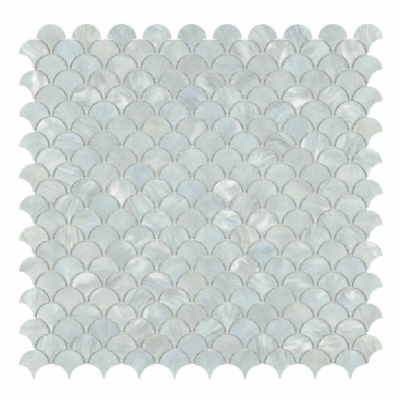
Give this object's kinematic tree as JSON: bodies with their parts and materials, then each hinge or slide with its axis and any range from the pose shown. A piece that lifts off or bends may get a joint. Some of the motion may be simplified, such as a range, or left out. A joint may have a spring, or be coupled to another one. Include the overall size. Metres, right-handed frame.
{
  "type": "fish scale mosaic tile sheet",
  "caption": "Net-backed mosaic sheet of fish scale tiles cut from pearl shell, staggered so that its scalloped edges interlock with the next sheet.",
  "frame": {"origin": "on the back of the net, under the middle of the sheet's outline", "axes": "+X along the rows, +Y the way the scales' round ends point, +Z out of the pearl face"},
  "size_m": [0.3132, 0.3058, 0.0022],
  "materials": {
    "pearl_shell": "polished mother of pearl, streaked pale blue, green and grey",
    "glass_yarn": "white coated glass-fibre yarn"
  },
  "bodies": {
    "root": {"scale_row_01": "pearl_shell", "scale_row_02": "pearl_shell", "scale_row_03": "pearl_shell", "scale_row_04": "pearl_shell", "scale_row_05": "pearl_shell", "scale_row_06": "pearl_shell", "scale_row_07": "pearl_shell", "scale_row_08": "pearl_shell", "scale_row_09": "pearl_shell", "scale_row_10": "pearl_shell", "scale_row_11": "pearl_shell", "scale_row_12": "pearl_shell", "scale_row_13": "pearl_shell", "scale_row_14": "pearl_shell", "scale_row_15": "pearl_shell", "scale_row_16": "pearl_shell", "scale_row_17": "pearl_shell", "scale_row_18": "pearl_shell", "scale_row_19": "pearl_shell", "scale_row_20": "pearl_shell", "scale_row_21": "pearl_shell", "scale_row_22": "pearl_shell", "warp_yarns": "glass_yarn", "weft_yarns": "glass_yarn"}
  },
  "joints": []
}
